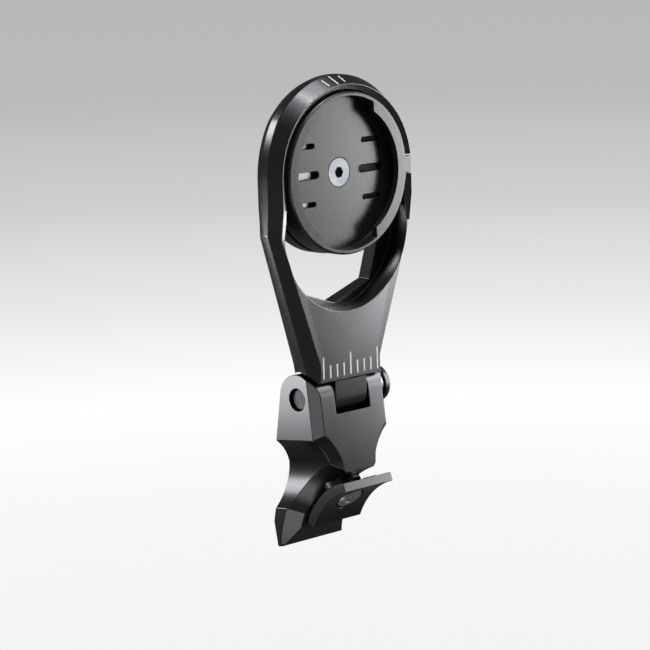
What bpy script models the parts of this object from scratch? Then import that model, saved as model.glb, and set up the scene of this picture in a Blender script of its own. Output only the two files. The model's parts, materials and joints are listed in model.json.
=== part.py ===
"""A hinged out-front mount for a cycling computer.

The base clamps under a stem's faceplate, with a curved plate between the faceplate and the bar. An arm
turns on a hinge above it and carries the twist-lock insert that the computer is turned into.

+X runs along the handlebar, -Y faces the rider's side where the computer sits, +Z runs up the arm.
The origin is the point of the base's curved seat that the clamp bolt passes through.
"""

import math

import bmesh
import bpy
from mathutils import Matrix, Vector

MM = 0.001
SIDES = 48
MERGE = 0.00001
COLLECTION = "computer_mount"

# Handlebar, seat and clamp, in millimetres
BAR_RADIUS = 15.9
PLATE_THICKNESS = 1.8
SEAT_RADIUS = 19.6
CLAMP_ANGLE = 55.0
PLATE_ANGLES = (31.0, 79.0)
PLATE_HALF_WIDTH = 6.6
BOLT_RADIUS = 2.0
BOLT_LENGTH = 10.5
BOLT_HEAD_RADIUS = 2.8
BOLT_HEAD_HEIGHT = 1.2
BOLT_HEX_RADIUS = 1.3
BOLT_HEAD_SINK = 0.15
NUT_RADIUS = 3.0
NUT_BORE_DEPTH = 8.2
SPACER_RADIUS = 4.0
SPACER_DEPTH = 0.9
LINER_THICKNESS = 0.38
SEAT_LINER_ANGLES = (25, 40)
SEAT_LINER_HALF_WIDTH = 4.6

# The base, measured from the hinge axis along its own front plane
BASE_TILT = 7.0
BAR_BEHIND = -10.1
BAR_BELOW = -34.6
LUG_RADIUS = 5.0
LUG_HALF_WIDTH = 8.45
CHAMFER = 1.75
NOTCH_HALF_WIDTH = 4.7
NOTCH_RADIUS = 6.2
SCALLOP_TOP = -7.4
WAIST_Z = -12.6
WAIST_HALF_WIDTH = 4.75
FOOT_HALF_WIDTH = 6.75
FOOT_Z = -23.0
TIP_Z = -30.4
SEAT_BEVEL = 2.65
TIP_THICKNESS = 1.2
SEAT_ANGLES = (23.3, 78.0)
LUG_BACK_ANGLE = 12.0
SLOPE_TOP = ((7.6, -8.2), (7.9, -10.0))
HEEL = ((12.25, FOOT_Z), (13.0, -25.2), (12.65, TIP_Z))

# The hinge
TONGUE_HALF_WIDTH = 4.3
KNUCKLE_RADIUS = 4.95
SHOULDER_CLEARANCE = 5.45
PIN_RADIUS = 2.1
PIN_INSET = 0.75
BUSH_RADIUS = 2.7
WASHER_RADIUS = 3.7
WASHER_RECESS = 0.5
WASHER_REACH = (3.9, 4.55)
BUSH_REACH = (0.3, 3.65)
SLEEVE_BORE = 1.55
SLEEVE_END = 8.6
HINGE_BOLT_RADIUS = 1.4
HINGE_HEAD_RADIUS = 3.7
HINGE_HEAD_GAP = 0.75
HINGE_HEAD_HEIGHT = 1.5
HINGE_HEX_RADIUS = 1.45
RUNNING_GAP = 0.12

# The arm, measured from the centre of the insert
HINGE_DEPTH = 6.05
HINGE_DROP = 44.4
RING_RADIUS = 17.5
RING_OUTER = 19.2
RING_FLAT = 18.65
SHOULDER_ANGLE = 36.0
FACE_DEPTH = 1.1
ARM_BACK = 8.6
POCKET_DEPTH = 5.5
POCKET_RADIUS = 16.3
LOWER_POCKET_RADIUS = 16.6
LOWER_POCKET_DROP = 10.7
ARM_BOTTOM = -40.9
BOSS_RADIUS = 16.2
RING_EASE = (-10.6, -5.2)
# sections from front to back: radius over the top, half width of the flat, top of the taper, bottom corner
# of the taper, corner of the foot, depth round the ring, depth down the taper
ARM_SECTIONS = (
    (15.7, 15.7, -11.0, (6.4, -37.0), (6.4, -39.0), FACE_DEPTH, FACE_DEPTH),
    (RING_RADIUS, RING_RADIUS, -11.2, (8.2, -37.3), (8.2, ARM_BOTTOM), 0.2, FACE_DEPTH - 0.03),
    (RING_OUTER, RING_FLAT, -10.6, (9.9, -37.6), (9.2, -41.2), 3.4, 3.8),
    (RING_OUTER, RING_FLAT, -10.6, (9.9, -37.6), (9.2, -41.2), 5.2, 4.7),
    (RING_OUTER - 0.5, RING_FLAT - 0.4, -10.8, (9.6, -37.6), (9.0, -41.2), 6.6, 6.2),
    (16.6, 16.3, -11.4, (8.6, -37.5), (8.0, ARM_BOTTOM), ARM_BACK, ARM_BACK),
)
# right half of the opening through the arm's back plate, from the top down
WINDOW = ((0, -8.1), (14.7, -8.1), (10.0, -22.8), (0, -26.2))
KEY_NOTCH = ((15.8, 20), (-1, 1.9), (-1.8, 2.1))

# The twist-lock insert
INSERT_RADIUS = 16.0
LIP_RADIUS = 13.5
TAB_RADIUS = 15.15
UNDERCUT_RADIUS = 15.35
LIP_THICKNESS = 1.3
DISH_DEPTH = 3.0
INSERT_BACK = 4.9
TAB_HALF_WIDTH = 7.1
# each slot in the dish's floor: height, inner end, outer end, half width
FLOOR_SLOTS = ((0.1, 5.35, 12.2, 0.75), (5.8, 6.3, 11.6, 0.5), (-5.6, 6.3, 11.6, 0.5))
KEY = ((15.5, 17.3), (0.2, 1.6), (-1.5, 1.8))
HUB_BORE = 1.65
SLOT_DEPTH = 1.0
SCREW_HEAD_RADIUS = 2.85
SCREW_RADIUS = 1.4
SCREW_END = -8.1
SCREW_HEX_RADIUS = 1.15
SCREW_NUT_RADIUS = 2.1
PAD_RADII = (3.0, 12.0)

# How far a cutter runs past what it cuts
REACH = 12.0


def on_circle(radius, degrees, centre=(0.0, 0.0)):
    """A point of a circle in its own plane."""
    angle = math.radians(degrees)
    return (centre[0] + radius * math.cos(angle), centre[1] + radius * math.sin(angle))


def arc(radius, start, end, steps, centre=(0.0, 0.0)):
    """Points of an arc from one angle to another, both ends included."""
    return [on_circle(radius, start + (end - start) * i / steps, centre) for i in range(steps + 1)]


def bow(start, end, sweep, steps):
    """An arc from one point to another that turns by sweep degrees, without its end point."""
    chord = Vector(end) - Vector(start)
    half = math.radians(sweep) / 2
    radius = chord.length / (2 * math.sin(half))
    heading = math.atan2(chord.y, chord.x) - half
    centre = Vector(start) + radius * Vector((-math.sin(heading), math.cos(heading)))
    first = math.degrees(math.atan2(start[1] - centre.y, start[0] - centre.x))
    return arc(abs(radius), first, first + sweep, steps, centre)[:-1]


def mirrored(half):
    """A closed outline from its right half, which runs from the top down to the bottom."""
    return half + [(-x, z) for x, z in reversed(half) if abs(x) > MERGE]


def grown(outline, distances):
    """A clockwise outline with each point moved outwards by its own distance, corners mitred."""
    moved = []
    for i, point in enumerate(outline):
        here = Vector(point)
        into = (here - Vector(outline[i - 1])).normalized()
        out_of = (Vector(outline[(i + 1) % len(outline)]) - here).normalized()
        normal = Vector((-into.y, into.x)) + Vector((-out_of.y, out_of.x))
        normal.normalize()
        corner = max(0.4, normal.dot(Vector((-into.y, into.x))))
        moved.append(tuple(here + normal * distances[i] / corner))
    return moved


def blend(low, high, value, start, end):
    """From low to high as value goes from start to end, eased at both ends."""
    t = min(1.0, max(0.0, (value - start) / (end - start)))
    t = t * t * (3 - 2 * t)
    return low + (high - low) * t


# Each place is a frame of millimetres: its matrix is set on a node's object in metres.
def frame_at(x, y, z, tilt=0.0):
    return Matrix.Translation(Vector((x, y, z)) * MM) @ Matrix.Rotation(math.radians(tilt), 4, "X")


SEAT_POINT = Vector((0, *on_circle(SEAT_RADIUS, CLAMP_ANGLE, (BAR_BEHIND, BAR_BELOW))))
TILTED = Matrix.Rotation(math.radians(-BASE_TILT), 3, "X")
HINGE = -(TILTED @ SEAT_POINT)
SIDEWAYS = Matrix.Rotation(math.radians(90), 4, "Z") @ Matrix.Rotation(math.radians(90), 4, "X")
FORWARDS = Matrix.Rotation(math.radians(90), 4, "X")
ACROSS = Matrix.Rotation(math.radians(90), 4, "Y")
ALONG_BOLT = Matrix.Rotation(math.radians(CLAMP_ANGLE - 90), 4, "X")


def clear_scene():
    for obj in list(bpy.data.objects):
        bpy.data.objects.remove(obj, do_unlink=True)


def collection(name):
    made = bpy.data.collections.new(name)
    bpy.context.scene.collection.children.link(made)
    return made


def metal(name, colour, roughness, metallic=1.0):
    material = bpy.data.materials.new(name)
    material.use_nodes = True
    shader = material.node_tree.nodes["Principled BSDF"]
    shader.inputs["Base Color"].default_value = (*colour, 1.0)
    shader.inputs["Roughness"].default_value = roughness
    shader.inputs["Metallic"].default_value = metallic
    return material


class Model:
    """The collections, the empties and the materials that the parts share."""

    def __init__(self):
        self.parts = collection(COLLECTION)
        self.cutters = collection("cutters")
        self.cutters.hide_render = True
        self.black = metal("anodised_black", (0.035, 0.037, 0.040), 0.36)
        self.moulded = metal("moulded_insert", (0.045, 0.047, 0.050), 0.42, 0.0)
        self.steel = metal("bright_steel", (0.62, 0.64, 0.66), 0.25)
        self.dark_steel = metal("dark_steel", (0.09, 0.09, 0.10), 0.35)
        self.bronze = metal("bearing_bronze", (0.50, 0.36, 0.18), 0.40)
        self.rubber = metal("grip_rubber", (0.02, 0.02, 0.02), 0.80, 0.0)
        self.base_frame = self.empty("base_frame", frame_at(*HINGE, -BASE_TILT))
        self.arm_pivot = self.empty("arm_pivot", frame_at(*HINGE))
        clamp = frame_at(*HINGE, -BASE_TILT) @ Matrix.Translation(SEAT_POINT * MM) @ ALONG_BOLT
        self.clamp_slide = self.empty("clamp_slide", clamp)

    def empty(self, name, matrix):
        made = bpy.data.objects.new(name, None)
        self.parts.objects.link(made)
        made.empty_display_size = 5 * MM
        made.matrix_world = matrix
        return made


def place(obj, parent, offset=(0, 0, 0)):
    obj.parent = parent
    obj.location = Vector(offset) * MM


def finish(mesh, turn, material=None):
    """Millimetres to metres, turned into the group's frame, shaded smooth with sharp corners."""
    mesh.transform(Matrix.Scale(MM, 4) @ turn)
    if material:
        mesh.materials.append(material)
    mesh.shade_smooth()
    mesh.set_sharp_from_angle(angle=math.radians(30))


def add(model, name, mesh, turn, material):
    """A node when it has a material, a cutter when it has none."""
    finish(mesh, turn, material)
    obj = bpy.data.objects.new(name, mesh)
    home = model.parts if material else model.cutters
    home.objects.link(obj)
    if not material:
        obj.hide_render = True
        obj.display_type = "WIRE"
    return obj


def flat(model, name, outline, low, high, turn, material=None):
    """A flat outline extruded from low to high along the plane's normal."""
    curve = bpy.data.curves.new(name + "_outline", "CURVE")
    curve.dimensions = "2D"
    curve.fill_mode = "BOTH"
    curve.extrude = (high - low) / 2
    spline = curve.splines.new("POLY")
    spline.points.add(len(outline) - 1)
    for point, (x, y) in zip(spline.points, outline):
        point.co = (x, y, 0, 1)
    spline.use_cyclic_u = True
    guide = bpy.data.objects.new(name + "_outline", curve)
    model.cutters.objects.link(guide)
    evaluated = guide.evaluated_get(bpy.context.evaluated_depsgraph_get())
    mesh = bpy.data.meshes.new_from_object(evaluated)
    bpy.data.objects.remove(guide, do_unlink=True)
    shape = bmesh.new()
    shape.from_mesh(mesh)
    bmesh.ops.remove_doubles(shape, verts=shape.verts, dist=MERGE)
    bmesh.ops.translate(shape, verts=shape.verts, vec=(0, 0, (low + high) / 2))
    bmesh.ops.recalc_face_normals(shape, faces=shape.faces)
    shape.to_mesh(mesh)
    shape.free()
    return add(model, name, mesh, turn, material)


def turned(model, name, profile, turn, material=None, sides=SIDES):
    """A closed profile of (radius, height) points turned about its axis."""
    closed = profile if min(r for r, _ in profile) < MERGE else profile + profile[:1]
    mesh = bpy.data.meshes.new(name)
    points = [(r, 0, h) for r, h in closed]
    mesh.from_pydata(points, [(i, i + 1) for i in range(len(points) - 1)], [])
    guide = bpy.data.objects.new(name + "_profile", mesh)
    model.cutters.objects.link(guide)
    screw = guide.modifiers.new("turn", "SCREW")
    screw.steps = sides
    screw.render_steps = sides
    screw.use_merge_vertices = True
    screw.merge_threshold = MERGE
    evaluated = guide.evaluated_get(bpy.context.evaluated_depsgraph_get())
    made = bpy.data.meshes.new_from_object(evaluated)
    bpy.data.objects.remove(guide, do_unlink=True)
    shape = bmesh.new()
    shape.from_mesh(made)
    bmesh.ops.remove_doubles(shape, verts=shape.verts, dist=MERGE)
    bmesh.ops.recalc_face_normals(shape, faces=shape.faces)
    shape.to_mesh(made)
    shape.free()
    return add(model, name, made, turn, material)


def rod(model, name, radius, low, high, turn, material=None, sides=SIDES):
    return turned(model, name, [(0, high), (radius, high), (radius, low), (0, low)], turn, material, sides)


def tube(model, name, inner, outer, low, high, turn, material=None, sides=SIDES):
    profile = [(inner, high), (outer, high), (outer, low), (inner, low)]
    return turned(model, name, profile, turn, material, sides)


def box(model, name, x, y, z, material=None):
    outline = [(x[0], z[1]), (x[1], z[1]), (x[1], z[0]), (x[0], z[0])]
    return flat(model, name, outline, -y[1], -y[0], FORWARDS, material)


def loft(model, name, rings, material=None):
    """A closed solid through rings of equally many points, with flat ends."""
    shape = bmesh.new()
    rows = [[shape.verts.new(point) for point in ring] for ring in rings]
    for row, following in zip(rows, rows[1:]):
        for i in range(len(row)):
            j = (i + 1) % len(row)
            shape.faces.new((row[i], row[j], following[j], following[i]))
    shape.faces.new(rows[0])
    shape.faces.new(rows[-1])
    bmesh.ops.recalc_face_normals(shape, faces=shape.faces)
    mesh = bpy.data.meshes.new(name)
    shape.to_mesh(mesh)
    shape.free()
    return add(model, name, mesh, Matrix.Identity(4), material)


def combine(obj, other, operation="DIFFERENCE"):
    """A Boolean with another object, which takes this one's place and parent."""
    other.parent = obj.parent
    other.location = obj.location
    modifier = obj.modifiers.new(other.name, "BOOLEAN")
    modifier.operation = operation
    modifier.solver = "EXACT"
    modifier.object = other


def arm_outline(radius, flat_x, taper_top, taper_bottom, foot):
    """Round over the top, a flatter shoulder, a short flat, a straight taper and a square end."""
    shoulder = on_circle(radius, SHOULDER_ANGLE)
    half = arc(radius, 90, SHOULDER_ANGLE, 8)[:-1]
    half += bow(shoulder, (flat_x, 0), -shoulder_sweep(shoulder, flat_x), 5)
    half += [(flat_x, 0), (flat_x, taper_top / 2), (flat_x, taper_top), taper_bottom, foot]
    return mirrored(half)


def shoulder_sweep(shoulder, flat_x):
    """How far an arc turns from the shoulder's corner to where it runs straight down the flat."""
    return 2 * math.degrees(math.atan2(flat_x - shoulder[0], shoulder[1]))


def arm_rings():
    """The arm's sections as rings of points: rim, crest, wide bevel, side wall, back edge, back."""
    rings = []
    for *outline, ring_depth, taper_depth in ARM_SECTIONS:
        points = arm_outline(*outline)
        depths = [blend(taper_depth, ring_depth, z, *RING_EASE) for _, z in points]
        rings.append([(x, depth, z) for (x, z), depth in zip(points, depths)])
    return rings


def tongue_side():
    """The hinge tongue seen from its side: the arm's thickness above, a round knuckle below."""
    front = HINGE_DEPTH - KNUCKLE_RADIUS
    back = ARM_BACK - 0.4
    rise = math.degrees(math.acos((back - HINGE_DEPTH) / KNUCKLE_RADIUS))
    knuckle = arc(KNUCKLE_RADIUS, 180, 360 + rise, 24, (HINGE_DEPTH, -HINGE_DROP))
    top = ARM_BOTTOM + 4
    return [(front, top)] + knuckle + [(back, top)]


def stepped_bore(model, turn):
    """The tongue's bore for its bushes, with a wider recess for a friction washer at each end."""
    bore = BUSH_RADIUS + RUNNING_GAP
    recess = WASHER_RADIUS + RUNNING_GAP
    step = TONGUE_HALF_WIDTH - WASHER_RECESS
    half = [(0, REACH), (recess, REACH), (recess, step), (bore, step)]
    profile = half + [(r, -h) for r, h in reversed(half)]
    return turned(model, "bush_bore", profile, turn, sides=32)


def pocket_outline():
    """Two overlapping circles: one round the insert, one below it."""
    drop = LOWER_POCKET_DROP
    z = (LOWER_POCKET_RADIUS**2 - POCKET_RADIUS**2 - drop**2) / (2 * drop)
    upper = math.degrees(math.asin(z / POCKET_RADIUS))
    lower = math.degrees(math.asin((z + drop) / LOWER_POCKET_RADIUS))
    half = arc(POCKET_RADIUS, 90, upper, 14)
    half += arc(LOWER_POCKET_RADIUS, lower, -90, 14, (0, -drop))[1:]
    return mirrored(half)


def make_arm(model):
    offset = (0, -HINGE_DEPTH, HINGE_DROP)
    arm = loft(model, "arm", arm_rings(), model.black)
    place(arm, model.arm_pivot, offset)
    hinge_turn = Matrix.Translation((0, HINGE_DEPTH, -HINGE_DROP)) @ ACROSS
    clearance = rod(model, "shoulder_clearance", SHOULDER_CLEARANCE, -REACH, REACH, hinge_turn)
    combine(arm, clearance)
    half = TONGUE_HALF_WIDTH
    combine(arm, flat(model, "tongue", tongue_side(), -half, half, SIDEWAYS), "UNION")
    pocket = flat(model, "pocket", pocket_outline(), -POCKET_DEPTH, 2, FORWARDS)
    combine(arm, pocket)
    window = flat(model, "window", mirrored(list(WINDOW)), -ARM_BACK - 1, -POCKET_DEPTH + 0.5, FORWARDS)
    place(window, model.arm_pivot, offset)
    boss = rod(model, "boss", BOSS_RADIUS, -ARM_BACK - 2, 0, FORWARDS)
    combine(window, boss)
    combine(arm, window)
    combine(arm, rod(model, "insert_screw_hole", 2.25, -ARM_BACK - 1, 0, FORWARDS, sides=32))
    combine(arm, box(model, "key_notch", *KEY_NOTCH))
    combine(arm, stepped_bore(model, hinge_turn))


def make_insert(model):
    """The dish that the computer turns into, with lips left and right and openings above and below."""
    offset = (0, -HINGE_DEPTH, HINGE_DROP)
    profile = [
        (HUB_BORE, -DISH_DEPTH - 1.3),
        (3.0, -DISH_DEPTH),
        (UNDERCUT_RADIUS, -DISH_DEPTH),
        (UNDERCUT_RADIUS, -LIP_THICKNESS),
        (LIP_RADIUS, -LIP_THICKNESS),
        (LIP_RADIUS, 0),
        (INSERT_RADIUS - 0.3, 0),
        (INSERT_RADIUS, -0.3),
        (INSERT_RADIUS, -INSERT_BACK),
        (HUB_BORE, -INSERT_BACK),
    ]
    insert = turned(model, "twist_lock_insert", profile, FORWARDS, model.moulded, sides=60)
    place(insert, model.arm_pivot, offset)
    combine(insert, box(model, "key", *KEY), "UNION")
    tabs = box(model, "tab_gap", (-TAB_HALF_WIDTH, TAB_HALF_WIDTH), (-1, LIP_THICKNESS + 0.4), (-20, 20))
    place(tabs, model.arm_pivot, offset)
    combine(tabs, rod(model, "tab_circle", TAB_RADIUS, -5, 5, FORWARDS, sides=60), "INTERSECT")
    combine(insert, tabs)
    for side in (-1, 1):
        for height, start, end, half_width in FLOOR_SLOTS:
            name = f"slot_{'left' if side < 0 else 'right'}_{height:.0f}"
            x = sorted((side * start, side * end))
            z = (height - half_width, height + half_width)
            combine(insert, box(model, name, x, (1, DISH_DEPTH + SLOT_DEPTH), z))


def make_insert_fasteners(model):
    offset = (0, -HINGE_DEPTH, HINGE_DROP)
    top = -DISH_DEPTH + 0.05
    profile = [
        (0, top),
        (SCREW_HEAD_RADIUS, top),
        (SCREW_HEAD_RADIUS, top - 0.15),
        (SCREW_RADIUS, top - 1.6),
        (SCREW_RADIUS, SCREW_END),
        (0, SCREW_END),
    ]
    screw = turned(model, "insert_screw", profile, FORWARDS, model.steel, sides=32)
    place(screw, model.arm_pivot, offset)
    combine(screw, rod(model, "insert_screw_socket", SCREW_HEX_RADIUS, top - 1.2, 0, FORWARDS, sides=6))
    bore = SCREW_RADIUS + RUNNING_GAP
    nut = tube(model, "screw_insert", bore, SCREW_NUT_RADIUS, -8.4, -5.9, FORWARDS, model.bronze, 32)
    place(nut, model.arm_pivot, offset)
    pad = tube(model, "insert_pad", *PAD_RADII, -5.38, -5.02, FORWARDS, model.rubber)
    place(pad, model.arm_pivot, offset)


def base_outline():
    """Half of the base's front outline: lug, concave scallop, waist, flared foot."""
    half = [(0, 6.0), (LUG_HALF_WIDTH, 6.0)]
    half += bow((LUG_HALF_WIDTH, SCALLOP_TOP), (WAIST_HALF_WIDTH, WAIST_Z), 28, 7)
    half += bow((WAIST_HALF_WIDTH, WAIST_Z), (FOOT_HALF_WIDTH, FOOT_Z), 46, 8)
    half += [(FOOT_HALF_WIDTH, FOOT_Z), (FOOT_HALF_WIDTH, TIP_Z - 2), (0, TIP_Z - 2)]
    return half


def base_side():
    """The base seen from its side: round lug top, sloping back, thin foot, curved seat, front plane."""
    tip_y = HEEL[-1][0] - TIP_THICKNESS
    side = arc(LUG_RADIUS, 180, LUG_BACK_ANGLE, 16)
    side += [SLOPE_TOP[0]]
    side += bow(SLOPE_TOP[1], HEEL[0], 10, 4)
    side += [*HEEL, (tip_y, TIP_Z)]
    side += arc(SEAT_RADIUS, *SEAT_ANGLES, 20, (BAR_BEHIND, BAR_BELOW))
    side += [(-LUG_RADIUS - 1, 0)]
    return side


def notch_side():
    """The cut between the lugs seen from its side: a round floor about the hinge, open above."""
    floor = arc(NOTCH_RADIUS, 200, 340, 18)
    return [(-10, 10), (-10, floor[0][1])] + floor + [(10, floor[-1][1]), (10, 10)]


def side_half_width(z):
    """Half the base's width behind its chamfer, at a height below the lugs."""
    outline = mirrored(base_outline())
    wide = grown(outline, [CHAMFER] * len(outline))
    right = [point for point in wide if point[0] > 0]
    for (x1, z1), (x2, z2) in zip(right, right[1:]):
        if z2 <= z <= z1 and z1 - z2 > MERGE:
            return x1 + (x2 - x1) * (z1 - z) / (z1 - z2)
    return FOOT_HALF_WIDTH + CHAMFER


def seat_bevel_rings(side):
    """Sections of the cutter that bevels the seat's edge along one side of the base."""
    steps = 18
    over = 0.4
    rings = []
    for i in range(steps + 1):
        angle = 4 + 78 * i / steps
        _, z = on_circle(SEAT_RADIUS + SEAT_BEVEL, angle, (BAR_BEHIND, BAR_BELOW))
        edge = side_half_width(z)
        section = (
            (edge + over, SEAT_RADIUS + SEAT_BEVEL + over),
            (edge + 5, SEAT_RADIUS + SEAT_BEVEL + over),
            (edge + 5, SEAT_RADIUS - 4),
            (edge - SEAT_BEVEL - over, SEAT_RADIUS - 4),
            (edge - SEAT_BEVEL - over, SEAT_RADIUS - over),
        )
        centre = (BAR_BEHIND, BAR_BELOW)
        rings.append([(side * x, *on_circle(radius, angle, centre)) for x, radius in section])
    return rings


def bolt_turn():
    return Matrix.Translation(SEAT_POINT) @ ALONG_BOLT


def make_base(model):
    outline = mirrored(base_outline())
    wide = grown(outline, [CHAMFER] * len(outline))
    front = -LUG_RADIUS
    rings = [
        [(x, front, z) for x, z in outline],
        [(x, front + CHAMFER, z) for x, z in wide],
        [(x, 16.0, z) for x, z in wide],
    ]
    base = loft(model, "base", rings, model.black)
    place(base, model.base_frame)
    combine(base, flat(model, "side_profile", base_side(), -14, 14, SIDEWAYS), "INTERSECT")
    half = NOTCH_HALF_WIDTH
    combine(base, flat(model, "notch", notch_side(), -half, half, SIDEWAYS))
    combine(base, rod(model, "hinge_bore", PIN_RADIUS + 0.15, -REACH, REACH, ACROSS, sides=32))
    for side in (-1, 1):
        name = "seat_bevel_" + ("left" if side < 0 else "right")
        combine(base, loft(model, name, seat_bevel_rings(side)))
    combine(base, rod(model, "spacer_recess", SPACER_RADIUS + 0.15, -6, SPACER_DEPTH, bolt_turn(), sides=32))
    combine(base, rod(model, "clamp_nut_bore", NUT_RADIUS + 0.1, 0, NUT_BORE_DEPTH, bolt_turn(), sides=32))
    run_out = (NUT_BORE_DEPTH - 0.2, 10.0)
    combine(base, rod(model, "bolt_run_out", BOLT_RADIUS + 0.3, *run_out, bolt_turn(), sides=32))


def make_hinge(model):
    """The sleeve nut from the left, the bolt from the right, and what runs between the lugs."""
    outside = LUG_HALF_WIDTH + CHAMFER
    end = PIN_INSET - outside
    nut = [
        (0, -1.5),
        (SLEEVE_BORE, -1.5),
        (SLEEVE_BORE, SLEEVE_END),
        (PIN_RADIUS, SLEEVE_END),
        (PIN_RADIUS, end + 0.2),
        (PIN_RADIUS - 0.2, end),
        (0, end),
    ]
    barrel = turned(model, "hinge_barrel_nut", nut, ACROSS, model.dark_steel, 32)
    place(barrel, model.base_frame)
    head = outside + HINGE_HEAD_GAP
    top = head + HINGE_HEAD_HEIGHT
    bolt = [
        (0, top),
        (HINGE_HEAD_RADIUS - 0.4, top),
        (HINGE_HEAD_RADIUS, top - 0.4),
        (HINGE_HEAD_RADIUS, head),
        (HINGE_BOLT_RADIUS, head),
        (HINGE_BOLT_RADIUS, -1.0),
        (0, -1.0),
    ]
    screw = turned(model, "hinge_bolt", bolt, ACROSS, model.dark_steel, 32)
    place(screw, model.base_frame)
    combine(screw, rod(model, "hinge_bolt_socket", HINGE_HEX_RADIUS, head + 0.5, head + 3, ACROSS, sides=6))
    gap = (outside + 0.1, outside + 0.65)
    spring = tube(model, "hinge_spring_washer", 1.7, 3.2, *gap, ACROSS, model.steel, 32)
    place(spring, model.base_frame)
    inner = PIN_RADIUS + RUNNING_GAP
    for side, word in ((-1, "left"), (1, "right")):
        reach = sorted(side * x for x in BUSH_REACH)
        bush = tube(model, "hinge_bush_" + word, inner, BUSH_RADIUS, *reach, ACROSS, model.bronze, 32)
        place(bush, model.arm_pivot)
        reach = sorted(side * x for x in WASHER_REACH)
        name = "friction_washer_" + word
        washer = tube(model, name, inner, WASHER_RADIUS, *reach, ACROSS, model.bronze, 32)
        place(washer, model.arm_pivot)


def curved_pad(inner, outer, start, end, steps):
    """The outline of a curved plate round the bar's centre, seen from its side."""
    centre = (BAR_BEHIND, BAR_BELOW)
    return arc(outer, start, end, steps, centre) + arc(inner, end, start, steps, centre)


def in_clamp(matrix=None):
    """From the base's frame to the frame at the seat point, whose Z is the clamp bolt's axis."""
    back = ALONG_BOLT.inverted() @ Matrix.Translation(-SEAT_POINT)
    return back @ matrix if matrix else back


def make_clamp(model):
    low, high = PLATE_ANGLES
    outer = BAR_RADIUS + PLATE_THICKNESS
    half = PLATE_HALF_WIDTH
    flip = in_clamp(SIDEWAYS)
    outline = curved_pad(BAR_RADIUS, outer, low, high, 16)
    plate = flat(model, "clamp_plate", outline, -half, half, flip, model.black)
    place(plate, model.clamp_slide)
    sunk = BAR_RADIUS - SEAT_RADIUS + BOLT_HEAD_SINK
    top = sunk - 0.5
    under = top + BOLT_HEAD_HEIGHT
    upright = Matrix.Identity(4)
    clear = BOLT_RADIUS + 0.3
    wide = BOLT_HEAD_RADIUS + 0.3
    recess = [(0, 3.0), (clear, 3.0), (clear, 1.0), (wide, 1.0), (wide, -2.0), (0, -2.0)]
    recess = [(radius, sunk + height) for radius, height in recess]
    combine(plate, turned(model, "bolt_recess", recess, upright, sides=32))
    bolt = [
        (0, under + BOLT_LENGTH - 0.2),
        (BOLT_RADIUS - 0.3, under + BOLT_LENGTH - 0.2),
        (BOLT_RADIUS, under + BOLT_LENGTH - 0.6),
        (BOLT_RADIUS, under),
        (BOLT_HEAD_RADIUS, under),
        (BOLT_HEAD_RADIUS, top + 0.4),
        (BOLT_HEAD_RADIUS - 0.4, top + 0.05),
        (0, top),
    ]
    screw = turned(model, "clamp_bolt", bolt, upright, model.dark_steel, 32)
    place(screw, model.clamp_slide)
    combine(screw, rod(model, "clamp_bolt_socket", BOLT_HEX_RADIUS, top - 2.5, top + 0.9, upright, sides=6))
    gap = (under + 0.08, under + 0.24)
    washer = tube(model, "clamp_washer", 2.12, 2.95, *gap, upright, model.steel, 32)
    place(washer, model.clamp_slide)
    keeper = tube(model, "bolt_retainer", 2.1, 2.9, -1.75, -1.35, upright, model.rubber, 32)
    place(keeper, model.clamp_slide)
    inner = outer + RUNNING_GAP
    pad = curved_pad(inner, inner + LINER_THICKNESS, low + 2, high - 12, 12)
    liner = flat(model, "plate_liner", pad, -half + 0.6, half - 0.6, flip, model.rubber)
    place(liner, model.clamp_slide)
    combine(liner, rod(model, "liner_hole", SPACER_RADIUS + 0.4, -8, 8, upright, sides=32))


def make_seat_parts(model):
    """What the base holds for the clamp: the spacer, the threaded insert and the grip pad."""
    turn = bolt_turn()
    spacer = tube(model, "clamp_spacer", NUT_RADIUS + 0.05, SPACER_RADIUS, -1.2, 0.8, turn, model.black, 32)
    place(spacer, model.base_frame)
    nut = tube(model, "clamp_nut", BOLT_RADIUS + RUNNING_GAP, NUT_RADIUS, 1.0, 7.9, turn, model.steel, 32)
    place(nut, model.base_frame)
    outer = SEAT_RADIUS - RUNNING_GAP
    pad = curved_pad(outer - LINER_THICKNESS, outer, *SEAT_LINER_ANGLES, 8)
    half = SEAT_LINER_HALF_WIDTH
    liner = flat(model, "seat_liner", pad, -half, half, SIDEWAYS, model.rubber)
    place(liner, model.base_frame)


def main():
    clear_scene()
    model = Model()
    make_arm(model)
    make_insert(model)
    make_insert_fasteners(model)
    make_base(model)
    make_hinge(model)
    make_clamp(model)
    make_seat_parts(model)


main()
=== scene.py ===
import json
import math

import bmesh
import bpy
from mathutils import Matrix, Vector


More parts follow.
